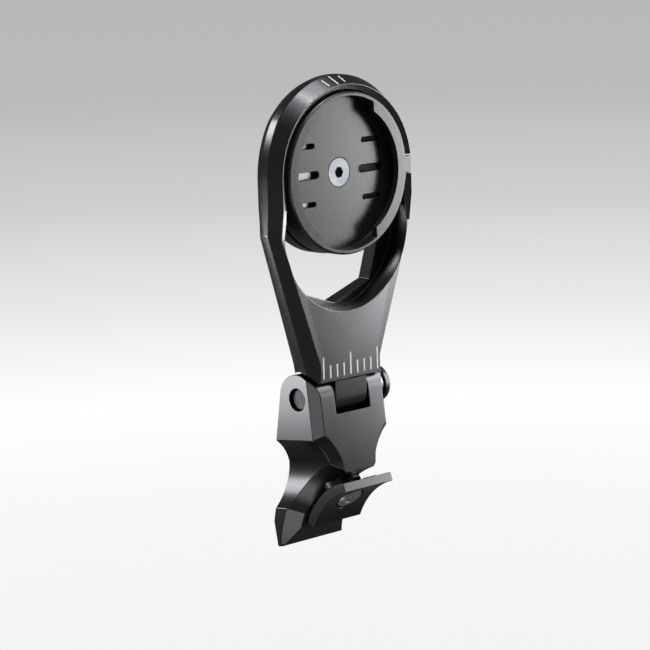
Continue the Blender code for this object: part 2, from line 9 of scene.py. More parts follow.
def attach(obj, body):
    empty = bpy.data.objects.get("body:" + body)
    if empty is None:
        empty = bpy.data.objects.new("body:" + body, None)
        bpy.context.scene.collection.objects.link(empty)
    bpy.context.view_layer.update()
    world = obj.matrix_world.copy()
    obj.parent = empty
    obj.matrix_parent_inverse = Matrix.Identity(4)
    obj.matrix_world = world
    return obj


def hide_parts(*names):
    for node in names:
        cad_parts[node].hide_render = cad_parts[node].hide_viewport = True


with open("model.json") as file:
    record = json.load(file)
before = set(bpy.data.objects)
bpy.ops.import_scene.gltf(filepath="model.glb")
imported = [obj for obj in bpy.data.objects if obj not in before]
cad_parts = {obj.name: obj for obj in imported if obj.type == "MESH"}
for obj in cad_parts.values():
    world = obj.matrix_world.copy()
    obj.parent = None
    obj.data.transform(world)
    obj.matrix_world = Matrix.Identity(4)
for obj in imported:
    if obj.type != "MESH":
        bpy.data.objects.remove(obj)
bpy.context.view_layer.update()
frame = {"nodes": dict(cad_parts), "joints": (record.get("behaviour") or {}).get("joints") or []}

# The looks of a hinged out-front mount for a cycling computer. Lengths are millimetres until a piece is
# placed in the row frame, which is in metres.
MM = 0.001
MERGE = 0.002
SIDES = 144

# Handlebar, seat and clamp
BAR_RADIUS = 15.9
PLATE_THICKNESS = 1.8
SEAT_RADIUS = 19.6
CLAMP_ANGLE = 55.0
PLATE_ANGLES = (31.0, 79.0)
PLATE_HALF_WIDTH = 6.6
BOLT_RADIUS = 2.0

# The base, measured from the hinge axis along its own front plane
BASE_TILT = 7.0
BAR_CENTRE = (-10.1, -34.6)
LUG_RADIUS = 5.0
LUG_HALF_WIDTH = 8.45
CHAMFER = 1.75
NOTCH_HALF_WIDTH = 4.7
NOTCH_RADIUS = 6.2
SCALLOP_TOP = -7.4
WAIST_Z = -12.6
WAIST_HALF_WIDTH = 4.75
FOOT_HALF_WIDTH = 6.75
FOOT_Z = -23.0
TIP_Z = -30.4
SEAT_BEVEL = 2.65
TIP_THICKNESS = 1.2

# The hinge
TONGUE_HALF_WIDTH = 4.3
KNUCKLE_RADIUS = 4.95
SHOULDER_CLEARANCE = 5.45
PIN_RADIUS = 2.1
PIN_INSET = 0.75
BUSH_RADIUS = 2.7
WASHER_RADIUS = 3.7
WASHER_RECESS = 0.5
RUNNING_GAP = 0.12

# The arm, measured from the centre of the insert
HINGE_DEPTH = 6.05
HINGE_DROP = 44.4
RING_RADIUS = 17.5
RING_OUTER = 19.2
RING_FLAT = 18.65
SHOULDER_ANGLE = 36.0
FACE_DEPTH = 1.1
ARM_BACK = 8.6
POCKET_DEPTH = 5.5
POCKET_RADIUS = 16.3
LOWER_POCKET_RADIUS = 16.6
LOWER_POCKET_DROP = 10.7
TAPER_TOP = -11.2
ARM_BOTTOM = -40.9
BOSS_RADIUS = 16.2

# The twist-lock insert
INSERT_RADIUS = 16.0
LIP_RADIUS = 13.5
TAB_RADIUS = 15.15
UNDERCUT_RADIUS = 15.35
LIP_THICKNESS = 1.3
DISH_DEPTH = 3.0
INSERT_BACK = 4.9
TAB_HALF_WIDTH = 7.1
# each slot in the dish's floor: height, inner end, outer end, half width
FLOOR_SLOTS = ((0.1, 5.35, 12.2, 0.75), (5.8, 6.3, 11.6, 0.5), (-5.6, 6.3, 11.6, 0.5))
SCREW_HEAD_RADIUS = 2.85
SCREW_RADIUS = 1.4


def turn(degrees, axis):
    return Matrix.Rotation(math.radians(degrees), 4, axis)


def on_circle(radius, degrees, centre=(0.0, 0.0)):
    """A point of a circle in its own plane."""
    angle = math.radians(degrees)
    return (centre[0] + radius * math.cos(angle), centre[1] + radius * math.sin(angle))


joints = {joint["name"]: joint for joint in frame["joints"]}
HINGE = Vector(joints["arm_tilt"]["pos_m"]) / MM
SEAT_POINT = Vector((0, *on_circle(SEAT_RADIUS, CLAMP_ANGLE, BAR_CENTRE)))
UPRIGHT = Matrix.Identity(4)
SIDEWAYS = turn(90, "Z") @ turn(90, "X")
FORWARDS = turn(90, "X")
ACROSS = turn(90, "Y")
ALONG_BOLT = turn(CLAMP_ANGLE - 90, "X")
BOLT_IN_BASE = Matrix.Translation(SEAT_POINT) @ ALONG_BOLT
HINGE_FRAME = Matrix.Translation(HINGE)
ARM_FRAME = Matrix.Translation(HINGE + Vector((0, -HINGE_DEPTH, HINGE_DROP)))
HINGE_IN_ARM = Matrix.Translation((0, HINGE_DEPTH, -HINGE_DROP)) @ ACROSS
BASE_FRAME = HINGE_FRAME @ turn(-BASE_TILT, "X")
CLAMP_FRAME = BASE_FRAME @ BOLT_IN_BASE


def arc(radius, start, end, steps, centre=(0.0, 0.0)):
    """Points of an arc from one angle to another, both ends included."""
    return [on_circle(radius, start + (end - start) * i / steps, centre) for i in range(steps + 1)]


def bow(start, end, sweep, steps):
    """An arc from one point to another that turns by sweep degrees, without its end point."""
    chord = Vector(end) - Vector(start)
    half = math.radians(sweep) / 2
    radius = chord.length / (2 * math.sin(half))
    heading = math.atan2(chord.y, chord.x) - half
    centre = Vector(start) + radius * Vector((-math.sin(heading), math.cos(heading)))
    first = math.degrees(math.atan2(start[1] - centre.y, start[0] - centre.x))
    return arc(abs(radius), first, first + sweep, steps, centre)[:-1]


def mirrored(half):
    """A closed outline from its right half, which runs from the top down to the bottom."""
    return half + [(-x, z) for x, z in reversed(half) if abs(x) > MERGE]


def grown(outline, distance):
    """A clockwise outline moved outwards, corners mitred."""
    moved = []
    for i, point in enumerate(outline):
        here = Vector(point)
        into = (here - Vector(outline[i - 1])).normalized()
        out_of = (Vector(outline[(i + 1) % len(outline)]) - here).normalized()
        side = Vector((-into.y, into.x))
        normal = (side + Vector((-out_of.y, out_of.x))).normalized()
        moved.append(tuple(here + normal * distance / max(0.4, normal.dot(side))))
    return moved


def eased(low, high, value, start, end):
    """From low to high as value goes from start to end, eased at both ends."""
    t = min(1.0, max(0.0, (value - start) / (end - start)))
    return low + (high - low) * t * t * (3 - 2 * t)


def made(name, shape, placing=UPRIGHT):
    """An object from a bmesh, whose normals are turned outwards."""
    bmesh.ops.remove_doubles(shape, verts=shape.verts, dist=MERGE)
    bmesh.ops.recalc_face_normals(shape, faces=shape.faces)
    mesh = bpy.data.meshes.new(name)
    shape.to_mesh(mesh)
    shape.free()
    mesh.transform(placing)
    obj = bpy.data.objects.new(name, mesh)
    bpy.context.scene.collection.objects.link(obj)
    return obj


def loft(name, rings, placing=UPRIGHT):
    """A closed solid through rings of equally many points, with flat ends."""
    shape = bmesh.new()
    rows = [[shape.verts.new(point) for point in ring] for ring in rings]
    for row, following in zip(rows, rows[1:]):
        for i in range(len(row)):
            j = (i + 1) % len(row)
            shape.faces.new((row[i], row[j], following[j], following[i]))
    shape.faces.new(rows[0])
    shape.faces.new(rows[-1])
    return made(name, shape, placing)


def prism(name, outline, low, high, placing=UPRIGHT):
    return loft(name, [[(x, y, z) for x, y in outline] for z in (low, high)], placing)


def turned(name, profile, placing=UPRIGHT, sides=SIDES):
    """A closed profile of (radius, height) points turned about its axis."""
    closed = profile if min(r for r, _ in profile) < MERGE else profile + profile[:1]
    shape = bmesh.new()
    points = [shape.verts.new((r, 0, h)) for r, h in closed]
    edges = [shape.edges.new(pair) for pair in zip(points, points[1:])]
    bmesh.ops.spin(
        shape, geom=points + edges, cent=(0, 0, 0), axis=(0, 0, 1), angle=math.tau, steps=sides
    )
    return made(name, shape, placing)


def rod(name, radius, low, high, placing=UPRIGHT, sides=SIDES):
    return turned(name, [(0, high), (radius, high), (radius, low), (0, low)], placing, sides)


def tube(name, inner, outer, low, high, placing=UPRIGHT, sides=SIDES):
    profile = [(inner, high), (outer, high), (outer, low), (inner, low)]
    return turned(name, profile, placing, sides)


def bars(name, blocks, placing=UPRIGHT):
    """Several boxes in one piece, each given by its centre and its sides."""
    shape = bmesh.new()
    for centre, sides in blocks:
        matrix = placing @ Matrix.Translation(centre) @ Matrix.Diagonal((*sides, 1))
        bmesh.ops.create_cube(shape, size=1, matrix=matrix)
    return made(name, shape)


def box(name, x, y, z):
    outline = [(x[0], z[1]), (x[1], z[1]), (x[1], z[0]), (x[0], z[0])]
    return prism(name, outline, -y[1], -y[0], FORWARDS)


def settled(obj):
    """Gives an object the mesh that its modifiers make."""
    evaluated = obj.evaluated_get(bpy.context.evaluated_depsgraph_get())
    mesh = bpy.data.meshes.new_from_object(evaluated)
    obj.modifiers.clear()
    obj.data = mesh


def combine(obj, other, operation="DIFFERENCE"):
    """A Boolean with another object, which is used up."""
    modifier = obj.modifiers.new(other.name, "BOOLEAN")
    modifier.operation = operation
    modifier.solver = "EXACT"
    modifier.object = other
    settled(obj)
    bpy.data.objects.remove(other, do_unlink=True)


def soften(obj, width, angle=16.0, segments=2):
    """Merges what the Booleans split, then rounds every edge sharper than the angle."""
    shape = bmesh.new()
    shape.from_mesh(obj.data)
    bmesh.ops.remove_doubles(shape, verts=shape.verts, dist=0.012)
    bmesh.ops.dissolve_limit(
        shape, angle_limit=math.radians(0.4), verts=shape.verts, edges=shape.edges
    )
    bmesh.ops.triangulate(shape, faces=[face for face in shape.faces if len(face.verts) > 40])
    bmesh.ops.join_triangles(
        shape,
        faces=shape.faces,
        cmp_seam=False,
        cmp_sharp=False,
        cmp_uvs=False,
        cmp_vcols=False,
        cmp_materials=False,
        angle_face_threshold=math.radians(0.4),
        angle_shape_threshold=math.radians(180),
    )
    shape.to_mesh(obj.data)
    shape.free()
    obj.data.shade_smooth()
    bevel = obj.modifiers.new("edges", "BEVEL")
    bevel.limit_method = "ANGLE"
    bevel.angle_limit = math.radians(angle)
    bevel.width = width
    bevel.segments = segments
    bevel.use_clamp_overlap = False
    bevel.harden_normals = True
    bevel.miter_outer = "MITER_ARC"
    settled(obj)


def fit(obj, placing, body, material, slot, *nodes):
    """Places a piece in the row frame, gives it its material, hangs it on the body that it rides on and hides the CAD
    nodes that it stands for.
    """
    obj.data.transform(Matrix.Scale(MM, 4) @ placing)
    obj.data.materials.clear()
    obj.data.materials.append(material)
    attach(obj, body)
    if nodes:
        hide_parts(*nodes)
    return obj


# Materials


class Look:
    """A Principled material being put together from nodes."""

    def __init__(self, name, roughness, metallic):
        self.material = bpy.data.materials.new(name)
        self.material.use_nodes = True
        self.tree = self.material.node_tree
        self.shader = self.tree.nodes["Principled BSDF"]
        self.shader.inputs["Roughness"].default_value = roughness
        self.shader.inputs["Metallic"].default_value = metallic
        self.place = self.node("ShaderNodeTexCoord").outputs["Object"]

    def node(self, kind, **inputs):
        made_node = self.tree.nodes.new(kind)
        for name, value in inputs.items():
            socket = made_node.inputs[name.replace("_", " ")]
            if isinstance(value, bpy.types.NodeSocket):
                self.tree.links.new(value, socket)
            else:
                socket.default_value = value
        return made_node

    def noise(self, per_metre, detail=3.0, rough=0.6):
        made_node = self.node(
            "ShaderNodeTexNoise", Vector=self.place, Scale=per_metre, Detail=detail, Roughness=rough
        )
        return made_node.outputs["Fac"]

    def ramp(self, value, low, high, start=0.0, end=1.0):
        made_node = self.node("ShaderNodeMapRange", Value=value)
        for name, number in (("From Min", start), ("From Max", end), ("To Min", low), ("To Max", high)):
            made_node.inputs[name].default_value = number
        return made_node.outputs["Result"]

    def mixed(self, factor, first, second):
        made_node = self.tree.nodes.new("ShaderNodeMix")
        made_node.data_type = "RGBA"
        self.tree.links.new(factor, made_node.inputs["Factor"])
        for socket, colour in zip([s for s in made_node.inputs if s.type == "RGBA"], (first, second)):
            socket.default_value = (*colour, 1.0)
        return next(s for s in made_node.outputs if s.type == "RGBA")

    def wear(self, socket, source):
        self.tree.links.new(source, self.shader.inputs[socket])

    def bump(self, height, distance, strength=1.0):
        made_node = self.node("ShaderNodeBump", Height=height, Distance=distance, Strength=strength)
        self.wear("Normal", made_node.outputs["Normal"])


def anodised(name, tone):
    """Bead-blasted, anodised aluminium whose reflectance is about the tone."""
    look = Look(name, 0.26, 1.0)
    dark, light = ((tone * k, tone * k * 1.03, tone * k * 1.07) for k in (0.97, 1.03))
    look.wear("Base Color", look.mixed(look.noise(140, 4), dark, light))
    look.wear("Roughness", look.ramp(look.noise(400, 1), 0.262, 0.274, 0.3, 0.7))
    return look.material


def insert_polymer():
    look = Look("insert_polymer", 0.38, 0.0)
    look.shader.inputs["Specular IOR Level"].default_value = 0.5
    look.wear("Base Color", look.mixed(look.noise(200, 4), (0.018, 0.019, 0.020), (0.024, 0.025, 0.027)))
    look.wear("Roughness", look.ramp(look.noise(1500, 3), 0.26, 0.30, 0.3, 0.7))
    look.bump(look.noise(6000, 3, 0.7), 0.000002)
    return look.material


def turned_metal(name, dark, light, roughness, centre, rings):
    """Metal faced on a lathe: fine rings about an axis along one of the row frame's directions."""
    look = Look(name, roughness, 1.0)
    offset = look.node("ShaderNodeMapping", Vector=look.place)
    offset.inputs["Location"].default_value = [-c for c in centre]
    wave = look.tree.nodes.new("ShaderNodeTexWave")
    wave.wave_type = "RINGS"
    wave.rings_direction = rings
    look.tree.links.new(offset.outputs["Vector"], wave.inputs["Vector"])
    wave.inputs["Scale"].default_value = 2600
    wave.inputs["Distortion"].default_value = 0.4
    wave.inputs["Detail"].default_value = 2
    look.wear("Base Color", look.mixed(wave.outputs["Fac"], dark, light))
    look.bump(wave.outputs["Fac"], 0.000012)
    return look.material


def plain_metal(name, dark, light, roughness):
    look = Look(name, roughness, 1.0)
    look.wear("Base Color", look.mixed(look.noise(700, 5), dark, light))
    look.wear("Roughness", look.ramp(look.noise(2500, 4), roughness - 0.05, roughness + 0.08, 0.3, 0.7))
    look.bump(look.noise(5000, 3), 0.000002)
    return look.material


def pad_rubber():
    look = Look("pad_rubber", 0.8, 0.0)
    look.wear("Base Color", look.mixed(look.noise(900, 5), (0.012, 0.012, 0.012), (0.024, 0.024, 0.025)))
    look.wear("Roughness", look.ramp(look.noise(3000, 4), 0.7, 0.9, 0.3, 0.7))
    look.bump(look.noise(4000, 4, 0.8), 0.00003)
    return look.material


def etched_white():
    look = Look("etched_white", 0.5, 0.0)
    look.wear("Base Color", look.mixed(look.noise(2500, 4), (0.70, 0.70, 0.70), (0.82, 0.82, 0.82)))
    look.bump(look.noise(7000, 3), 0.000002)
    return look.material


# The arm


def shoulder_sweep(shoulder, flat_x):
    """How far an arc turns from the shoulder's corner to where it runs straight down the flat."""
    return 2 * math.degrees(math.atan2(flat_x - shoulder[0], shoulder[1]))


def arm_outline(radius, flat_x, taper_top, taper_bottom, foot):
    """Round over the top, a flatter shoulder, a short flat, a straight taper and a square end."""
    shoulder = on_circle(radius, SHOULDER_ANGLE)
    half = arc(radius, 90, SHOULDER_ANGLE, 26)[:-1]
    half += bow(shoulder, (flat_x, 0), -shoulder_sweep(shoulder, flat_x), 16)
    half += [(flat_x, 0), (flat_x, taper_top / 2)]
    half += [(flat_x, taper_top), taper_bottom, foot]
    return mirrored(half)


def arm_rings():
    """Sections of the arm from front to back: rim, crest, wide bevel, side wall, back edge."""
    outer, flat_x = RING_OUTER, RING_FLAT
    sections = (
        (arm_outline(15.7, 15.7, -11.0, (6.4, -37.0), (6.4, -39.0)), 1.1, FACE_DEPTH),
        (arm_outline(RING_RADIUS, RING_RADIUS, TAPER_TOP, (8.2, -37.3), (8.2, ARM_BOTTOM)), 0.2, FACE_DEPTH - 0.03),
        (arm_outline(outer, flat_x, -10.6, (9.9, -37.6), (9.2, -41.2)), 3.4, 3.8),
        (arm_outline(outer, flat_x, -10.6, (9.9, -37.6), (9.2, -41.2)), 5.2, 4.7),
        (arm_outline(outer - 0.5, flat_x - 0.4, -10.8, (9.6, -37.6), (9.0, -41.2)), 6.6, 6.2),
        (arm_outline(16.6, 16.3, -11.4, (8.6, -37.5), (8.0, ARM_BOTTOM)), ARM_BACK, ARM_BACK),
    )
    rings = []
    for outline, ring_depth, taper_depth in sections:
        depths = [eased(taper_depth, ring_depth, z, -10.6, -5.2) for _, z in outline]
        rings.append([(x, depth, z) for (x, z), depth in zip(outline, depths)])
    return rings


def tongue_side():
    """The hinge tongue seen from its side: the arm's thickness above, a round knuckle below."""
    front = HINGE_DEPTH - KNUCKLE_RADIUS
    back = ARM_BACK - 0.4
    rise = math.degrees(math.acos((back - HINGE_DEPTH) / KNUCKLE_RADIUS))
    knuckle = arc(KNUCKLE_RADIUS, 180, 360 + rise, 80, (HINGE_DEPTH, -HINGE_DROP))
    top = ARM_BOTTOM + 4
    return [(front, top)] + knuckle + [(back, top)]


def stepped_bore():
    """The tongue's bore for its bushes, with a wider recess for a friction washer at each end."""
    bore = BUSH_RADIUS + RUNNING_GAP
    recess = WASHER_RADIUS + RUNNING_GAP
    step = TONGUE_HALF_WIDTH - WASHER_RECESS
    half = [(0, 12), (recess, 12), (recess, step), (bore, step)]
    return turned("bush_bore", half + [(r, -h) for r, h in reversed(half)], HINGE_IN_ARM)


def pocket_outline():
    """Two overlapping circles: one round the insert, one below it."""
    drop = LOWER_POCKET_DROP
    z = (LOWER_POCKET_RADIUS**2 - POCKET_RADIUS**2 - drop**2) / (2 * drop)
    upper = math.degrees(math.asin(z / POCKET_RADIUS))
    lower = math.degrees(math.asin((z + drop) / LOWER_POCKET_RADIUS))
    half = arc(POCKET_RADIUS, 90, upper, 44)
    half += arc(LOWER_POCKET_RADIUS, lower, -90, 44, (0, -drop))[1:]
    return mirrored(half)


def window_outline():
    """The opening through the arm's back plate: a shallow V below, sides that flare upwards."""
    return mirrored([(0, -8.1), (14.7, -8.1), (10.0, -22.8), (0, -26.2)])


def make_arm(black):
    arm = loft("arm_body", arm_rings())
    combine(arm, rod("shoulder_clearance", SHOULDER_CLEARANCE, -12, 12, HINGE_IN_ARM))
    half = TONGUE_HALF_WIDTH
    combine(arm, prism("tongue", tongue_side(), -half, half, SIDEWAYS), "UNION")
    combine(arm, prism("pocket", pocket_outline(), -POCKET_DEPTH, 2, FORWARDS))
    window = prism("window", window_outline(), -ARM_BACK - 1, -POCKET_DEPTH + 0.5, FORWARDS)
    combine(window, rod("boss", BOSS_RADIUS, -ARM_BACK - 2, 0, FORWARDS))
    combine(arm, window)
    combine(arm, rod("insert_screw_hole", 2.25, -ARM_BACK - 1, 0, FORWARDS, 64))
    combine(arm, box("key_notch", (15.8, 20), (-1, 1.9), (-1.8, 2.1)))
    combine(arm, stepped_bore())
    soften(arm, 0.14)
    fit(arm, ARM_FRAME, "arm", black, "anodised_black", "arm")


def floor_slot(side, height, start, end, half_width):
    """A slot with round ends whose floor rises outwards, so that it faces the middle of the dish."""
    outline = arc(half_width, 90, 270, 16, (start + half_width, height))
    outline += arc(half_width, -90, 90, 16, (end - half_width, height))
    depths = [DISH_DEPTH + 1.2 - (x - start) / (end - start) for x, _ in outline]
    floor = [(side * x, z, -depth) for (x, z), depth in zip(outline, depths)]
    return loft("slot", [floor, [(x, z, -1) for x, z, _ in floor]], FORWARDS)


def make_insert(moulded):
    """The dish that the computer turns into, with lips left and right and openings above and below."""
    profile = [
        (1.65, -DISH_DEPTH - 1.3),
        (3.0, -DISH_DEPTH),
        (UNDERCUT_RADIUS, -DISH_DEPTH),
        (UNDERCUT_RADIUS, -LIP_THICKNESS),
        (LIP_RADIUS, -LIP_THICKNESS),
        (LIP_RADIUS, 0),
        (INSERT_RADIUS - 0.3, 0),
        (INSERT_RADIUS, -0.3),
        (INSERT_RADIUS, -INSERT_BACK),
        (1.65, -INSERT_BACK),
    ]
    insert = turned("insert_dish", profile, FORWARDS)
    combine(insert, box("key", (15.5, 17.3), (0.2, 1.6), (-1.5, 1.8)), "UNION")
    tabs = box("tab_gap", (-TAB_HALF_WIDTH, TAB_HALF_WIDTH), (-1, LIP_THICKNESS + 0.4), (-20, 20))
    combine(tabs, rod("tab_circle", TAB_RADIUS, -5, 5, FORWARDS), "INTERSECT")
    combine(insert, tabs)
    for side in (-1, 1):
        for slot in FLOOR_SLOTS:
            combine(insert, floor_slot(side, *slot))
            hole = (side * (slot[2] - slot[3]), 0, slot[0])
            placing = Matrix.Translation(hole) @ FORWARDS
            combine(insert, rod("slot_hole", slot[3] + 0.02, -DISH_DEPTH - 1.5, -1, placing, 32))
    soften(insert, 0.09)
    fit(insert, ARM_FRAME, "arm", moulded, "moulded_insert", "twist_lock_insert")


def make_insert_screw(steel):
    top = -DISH_DEPTH + 0.05
    profile = [
        (0, top),
        (SCREW_HEAD_RADIUS, top),
        (SCREW_HEAD_RADIUS, top - 0.15),
        (SCREW_RADIUS, top - 1.6),
        (SCREW_RADIUS, -8.1),
        (0, -8.1),
    ]
    screw = turned("insert_screw_head", profile, FORWARDS)
    combine(screw, rod("insert_screw_socket", 1.15, top - 1.2, 0, FORWARDS, 6))
    soften(screw, 0.05)
    fit(screw, ARM_FRAME, "arm", steel, "bright_steel", "insert_screw")


def make_marks(white):
    """Plain ticks etched in the arm: a row above the hinge and three on the ring's crown."""
    row = []
    for i in range(9):
        tall = 4.4 if i % 4 == 0 else 2.6
        row.append(((-7.4 + 1.85 * i, FACE_DEPTH, -40.1 + tall / 2), (0.34, 0.08, tall)))
    fit(bars("scale_ticks", row), ARM_FRAME, "arm", white, "anodised_black")
    crown = []
    slope = math.degrees(math.atan2(RING_OUTER - RING_RADIUS, 3.2))
    for angle, long in ((-7, 2.2), (0, 3.0), (7, 2.2)):
        placing = turn(angle - 6, "Y") @ Matrix.Translation((0, 1.8, (RING_RADIUS + RING_OUTER) / 2)) @ turn(slope, "X")
        tick = bars("crown_tick", [((0, 0, 0), (0.32, long, 0.08))], placing)
        crown.append(tick)
    for number, tick in enumerate(crown, 1):
        tick.name = "crown_tick_" + str(number)
        fit(tick, ARM_FRAME, "arm", white, "anodised_black")


# The base


def base_outline():
    """Half of the base's front outline: lug, concave scallop, waist, flared foot."""
    half = [(0, 6.0), (LUG_HALF_WIDTH, 6.0)]
    half += bow((LUG_HALF_WIDTH, SCALLOP_TOP), (WAIST_HALF_WIDTH, WAIST_Z), 28, 20)
    half += bow((WAIST_HALF_WIDTH, WAIST_Z), (FOOT_HALF_WIDTH, FOOT_Z), 46, 26)
    half += [(FOOT_HALF_WIDTH, FOOT_Z), (FOOT_HALF_WIDTH, TIP_Z - 2), (0, TIP_Z - 2)]
    return half


def base_side():
    """The base seen from its side: round lug top, sloping back, thin foot, curved seat, front plane."""
    side = arc(LUG_RADIUS, 180, 12, 60)
    side += [(7.6, -8.2)]
    side += bow((7.9, -10.0), (12.25, FOOT_Z), 10, 12)
    side += [(12.25, FOOT_Z), (13.0, -25.2), (12.65, TIP_Z), (12.65 - TIP_THICKNESS, TIP_Z)]
    side += arc(SEAT_RADIUS, 23.3, 78, 60, BAR_CENTRE)
    side += [(-6.0, 0)]
    return side


def notch_side():
    """The cut between the lugs seen from its side: a round floor about the hinge, open above."""
    floor = arc(NOTCH_RADIUS, 200, 340, 60)
    return [(-10, 10), (-10, floor[0][1])] + floor + [(10, floor[-1][1]), (10, 10)]


def side_half_width(z):
    """Half the base's width behind its chamfer, at a height below the lugs."""
    wide = [point for point in grown(mirrored(base_outline()), CHAMFER) if point[0] > 0]
    for (x1, z1), (x2, z2) in zip(wide, wide[1:]):
        if z2 <= z <= z1 and z1 - z2 > MERGE:
            return x1 + (x2 - x1) * (z1 - z) / (z1 - z2)
    return FOOT_HALF_WIDTH + CHAMFER


def seat_bevel_rings(side):
    """Sections of the cutter that bevels the seat's edge along one side of the base."""
    rings = []
    steps = 54
    for i in range(steps + 1):
        angle = 4 + 78 * i / steps
        _, z = on_circle(SEAT_RADIUS + SEAT_BEVEL, angle, BAR_CENTRE)
        edge = side_half_width(z)
        section = (
            (edge + 0.4, SEAT_RADIUS + SEAT_BEVEL + 0.4),
            (edge + 5, SEAT_RADIUS + SEAT_BEVEL + 0.4),
            (edge + 5, SEAT_RADIUS - 4),
            (edge - SEAT_BEVEL - 0.4, SEAT_RADIUS - 4),
            (edge - SEAT_BEVEL - 0.4, SEAT_RADIUS - 0.4),
        )
        rings.append([(side * x, *on_circle(radius, angle, BAR_CENTRE)) for x, radius in section])
    return rings


def make_base(black):
    outline = mirrored(base_outline())
    wide = grown(outline, CHAMFER)
    front = -LUG_RADIUS
    rings = [
        [(x, front, z) for x, z in outline],
        [(x, front + CHAMFER, z) for x, z in wide],
        [(x, 16.0, z) for x, z in wide],
    ]
    base = loft("base_body", rings)
    combine(base, prism("side_profile", base_side(), -14, 14, SIDEWAYS), "INTERSECT")
    half = NOTCH_HALF_WIDTH
    combine(base, prism("notch", notch_side(), -half, half, SIDEWAYS))
    combine(base, rod("hinge_bore", PIN_RADIUS + 0.15, -12, 12, ACROSS))
    for side in (-1, 1):
        combine(base, loft("seat_bevel", seat_bevel_rings(side)))
    combine(base, rod("spacer_recess", 4.15, -6, 0.9, BOLT_IN_BASE))
    combine(base, rod("clamp_nut_bore", 3.1, 0, 8.2, BOLT_IN_BASE))
    combine(base, rod("bolt_run_out", 2.3, 8, 10.0, BOLT_IN_BASE))
    soften(base, 0.12)
    fit(base, BASE_FRAME, "base", black, "anodised_black", "base")


# The hinge's fasteners


def make_hinge(pin_metal, bolt_metal, steel, bronze):
    """The sleeve nut from the left, the bolt from the right, and what runs between the lugs."""
    left = -(LUG_HALF_WIDTH + CHAMFER)
    nut = [
        (0, -1.5),
        (1.55, -1.5),
        (1.55, 8.6),
        (PIN_RADIUS, 8.6),
        (PIN_RADIUS, left + PIN_INSET + 0.2),
        (PIN_RADIUS - 0.2, left + PIN_INSET),
        (0, left + PIN_INSET),
    ]
    barrel = turned("hinge_pin", nut, ACROSS)
    soften(barrel, 0.04)
    fit(barrel, BASE_FRAME, "base", pin_metal, "dark_steel", "hinge_barrel_nut")
    head = -left + 0.75
    bolt = [
        (0, head + 1.5),
        (3.3, head + 1.5),
        (3.7, head + 1.1),
        (3.7, head),
        (1.4, head),
        (1.4, -1.0),
        (0, -1.0),
    ]
    screw = turned("hinge_bolt_head", bolt, ACROSS)
    combine(screw, rod("hinge_bolt_socket", 1.45, head + 0.5, head + 3, ACROSS, 6))
    soften(screw, 0.1)
    fit(screw, BASE_FRAME, "hinge_bolt", bolt_metal, "dark_steel", "hinge_bolt")
    spring = tube("spring_washer", 1.7, 3.2, -left + 0.1, -left + 0.65, ACROSS)
    soften(spring, 0.06)
    fit(spring, BASE_FRAME, "base", steel, "bright_steel", "hinge_spring_washer")
    inner = PIN_RADIUS + RUNNING_GAP
    for side, word in ((-1, "left"), (1, "right")):
        reach = sorted((side * 3.9, side * 4.55))
        washer = tube("thrust_washer_" + word, inner, WASHER_RADIUS, *reach, ACROSS)
        soften(washer, 0.05)
        fit(washer, HINGE_FRAME, "arm", bronze, "bearing_bronze", "friction_washer_" + word)


# The clamp


def curved_pad(inner, outer, start, end, steps):
    """The outline of a curved plate round the bar's centre, seen from its side."""
    return arc(outer, start, end, steps, BAR_CENTRE) + arc(inner, end, start, steps, BAR_CENTRE)


def make_clamp(black, bolt_metal, rubber):
    low, high = PLATE_ANGLES
    outer = BAR_RADIUS + PLATE_THICKNESS
    half = PLATE_HALF_WIDTH
    flip = BOLT_IN_BASE.inverted() @ SIDEWAYS
    plate = prism("clamp_plate_body", curved_pad(BAR_RADIUS, outer, low, high, 48), -half, half, flip)
    head_top = BAR_RADIUS - SEAT_RADIUS + 0.15
    recess = [
        (0, head_top + 3.0),
        (2.3, head_top + 3.0),
        (2.3, head_top + 1.0),
        (3.1, head_top + 1.0),
        (3.1, head_top - 2.0),
        (0, head_top - 2.0),
    ]
    combine(plate, turned("bolt_recess", recess))
    soften(plate, 0.12)
    fit(plate, CLAMP_FRAME, "clamp_plate", black, "anodised_black", "clamp_plate")
    bolt = [
        (0, head_top + 11.0),
        (BOLT_RADIUS - 0.3, head_top + 11.0),
        (BOLT_RADIUS, head_top + 10.6),
        (BOLT_RADIUS, head_top + 0.7),
        (2.8, head_top + 0.7),
        (2.8, head_top - 0.1),
        (2.4, head_top - 0.45),
        (0, head_top - 0.5),
    ]
    screw = turned("clamp_bolt_head", bolt)
    combine(screw, rod("clamp_bolt_socket", 1.3, head_top - 3, head_top + 0.4, sides=6))
    soften(screw, 0.06)
    fit(screw, CLAMP_FRAME, "clamp_bolt", bolt_metal, "dark_steel", "clamp_bolt")
    pad = curved_pad(outer + 0.12, outer + 0.5, low + 2, high - 12, 36)
    liner = prism("plate_liner_pad", pad, -half + 0.6, half - 0.6, flip)
    combine(liner, rod("liner_hole", 4.4, -8, 8))
    soften(liner, 0.06)
    fit(liner, CLAMP_FRAME, "clamp_plate", rubber, "grip_rubber", "plate_liner")


def make_seat_parts(black, rubber):
    """What the base holds for the clamp: the spacer and the grip pad."""
    spacer = tube("spacer_ring", 3.05, 4.0, -1.2, 0.8, BOLT_IN_BASE)
    soften(spacer, 0.1)
    fit(spacer, BASE_FRAME, "base", black, "anodised_black", "clamp_spacer")
    pad = curved_pad(SEAT_RADIUS - 0.5, SEAT_RADIUS - 0.12, 25, 40, 24)
    liner = prism("seat_liner_pad", pad, -4.6, 4.6, SIDEWAYS)
    soften(liner, 0.06)
    fit(liner, BASE_FRAME, "base", rubber, "grip_rubber", "seat_liner")


# The studio


